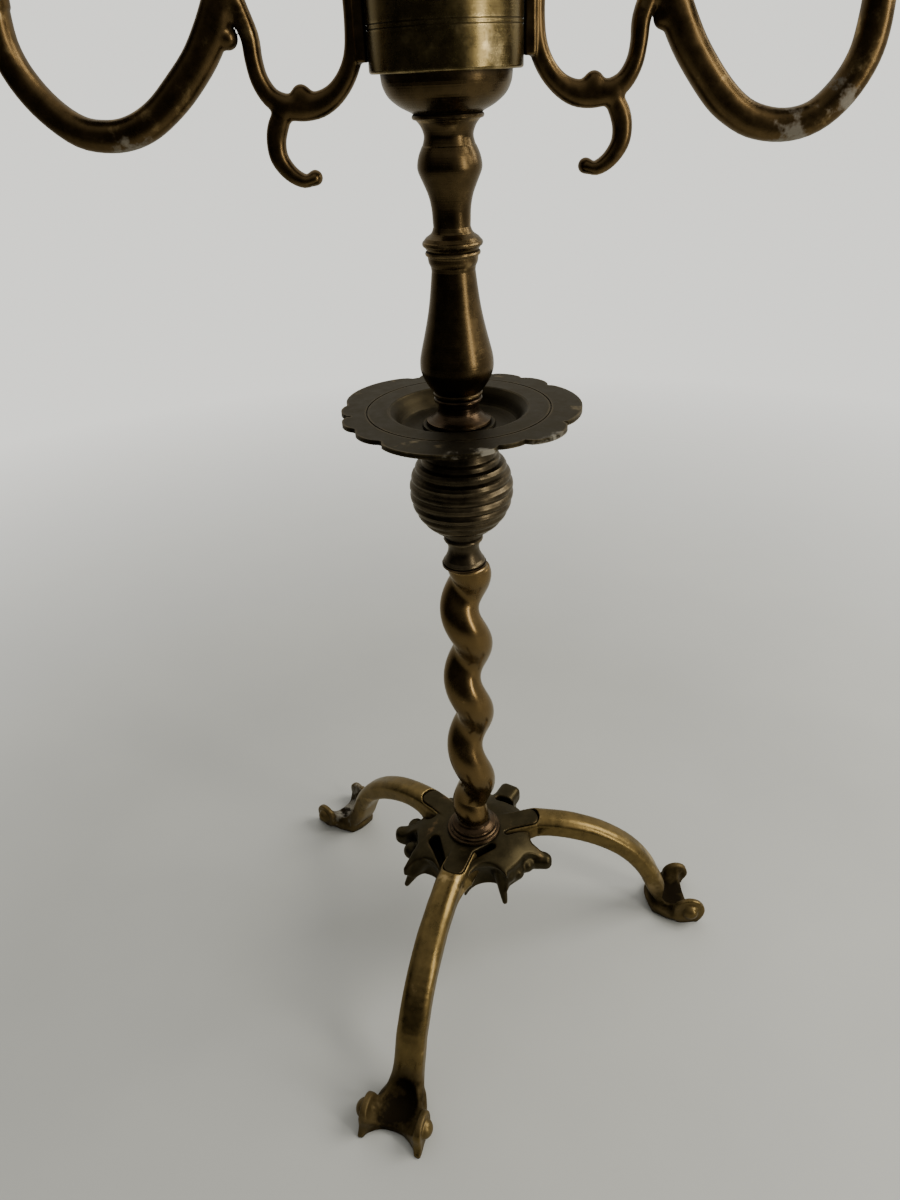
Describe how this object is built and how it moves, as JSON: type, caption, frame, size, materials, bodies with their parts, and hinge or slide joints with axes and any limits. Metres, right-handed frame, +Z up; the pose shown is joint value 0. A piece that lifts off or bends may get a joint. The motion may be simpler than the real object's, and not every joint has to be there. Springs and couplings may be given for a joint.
{
  "type": "tabletop candelabra",
  "caption": "Tripod candlestick with a twisted column, ribbed socket and drip tray, and a plug-in branch with scrolled arms, drip pans and ribbed candle cups.",
  "frame": {"origin": "on the column's axis, in the plane of the table that the feet stand on", "axes": "+Z up along the column's axis; +X to the right along the two arms, seen from the front; +Y to the back"},
  "size_m": [0.3045, 0.2064, 0.4404],
  "materials": {
    "cast_brass": "cast, brown patina in the hollows, rubbed bright on the high parts",
    "column_brass": "cast and filed, rubbed to a golden brown",
    "dark_brass": "turned, dark brown patina, glossy",
    "tray_brass": "spun and turned, dark grey-brown patina, bright worn edge",
    "turned_brass": "turned, aged brown-gold, fine lathe lines",
    "drum_brass": "turned, satin, olive brown-gold",
    "arm_brass": "cast, aged brown-gold with darker hollows",
    "steel": "dull plain steel, unseen"
  },
  "bodies": {
    "stand": {"hub": "cast_brass", "leg_front": "cast_brass", "leg_right": "cast_brass", "leg_back": "cast_brass", "leg_screws": "steel", "hub_washer": "steel", "hub_nut": "steel", "foot_stud": "steel", "base_collar": "dark_brass", "column": "column_brass", "head_stud": "steel", "column_washer": "dark_brass", "ribbed_socket": "dark_brass"},
    "nozzle": {"nozzle": "tray_brass"},
    "tray": {"drip_tray": "tray_brass"},
    "plug": {"plug": "turned_brass", "plug_nut": "steel"},
    "branch": {"vase": "turned_brass", "baluster": "turned_brass", "branch_rod": "steel", "bowl": "turned_brass", "drum": "drum_brass", "drum_lid": "drum_brass", "arm_left": "arm_brass", "arm_right": "arm_brass", "arm_screws": "steel", "centre_pan": "tray_brass", "centre_candle_cup": "turned_brass", "rod_nut": "steel", "pan_left": "tray_brass", "pan_right": "tray_brass", "candle_cup_left": "turned_brass", "candle_cup_right": "turned_brass", "cup_nuts": "steel"}
  },
  "joints": [
    {"name": "nozzle_lift", "type": "slide", "parent": "stand", "child": "nozzle", "axis": [0, 0, 1], "range_m": [0, 0.03]},
    {"name": "tray_turn", "type": "hinge", "parent": "nozzle", "child": "tray", "pos_m": [0, 0, 0.2585], "axis": [0, 0, 1], "range_deg": [-180, 180]},
    {"name": "branch_lift", "type": "slide", "parent": "nozzle", "child": "plug", "axis": [0, 0, 1], "range_m": [0, 0.03]},
    {"name": "branch_turn", "type": "hinge", "parent": "plug", "child": "branch", "pos_m": [0, 0, 0.2745], "axis": [0, 0, 1], "range_deg": [-180, 180]}
  ]
}
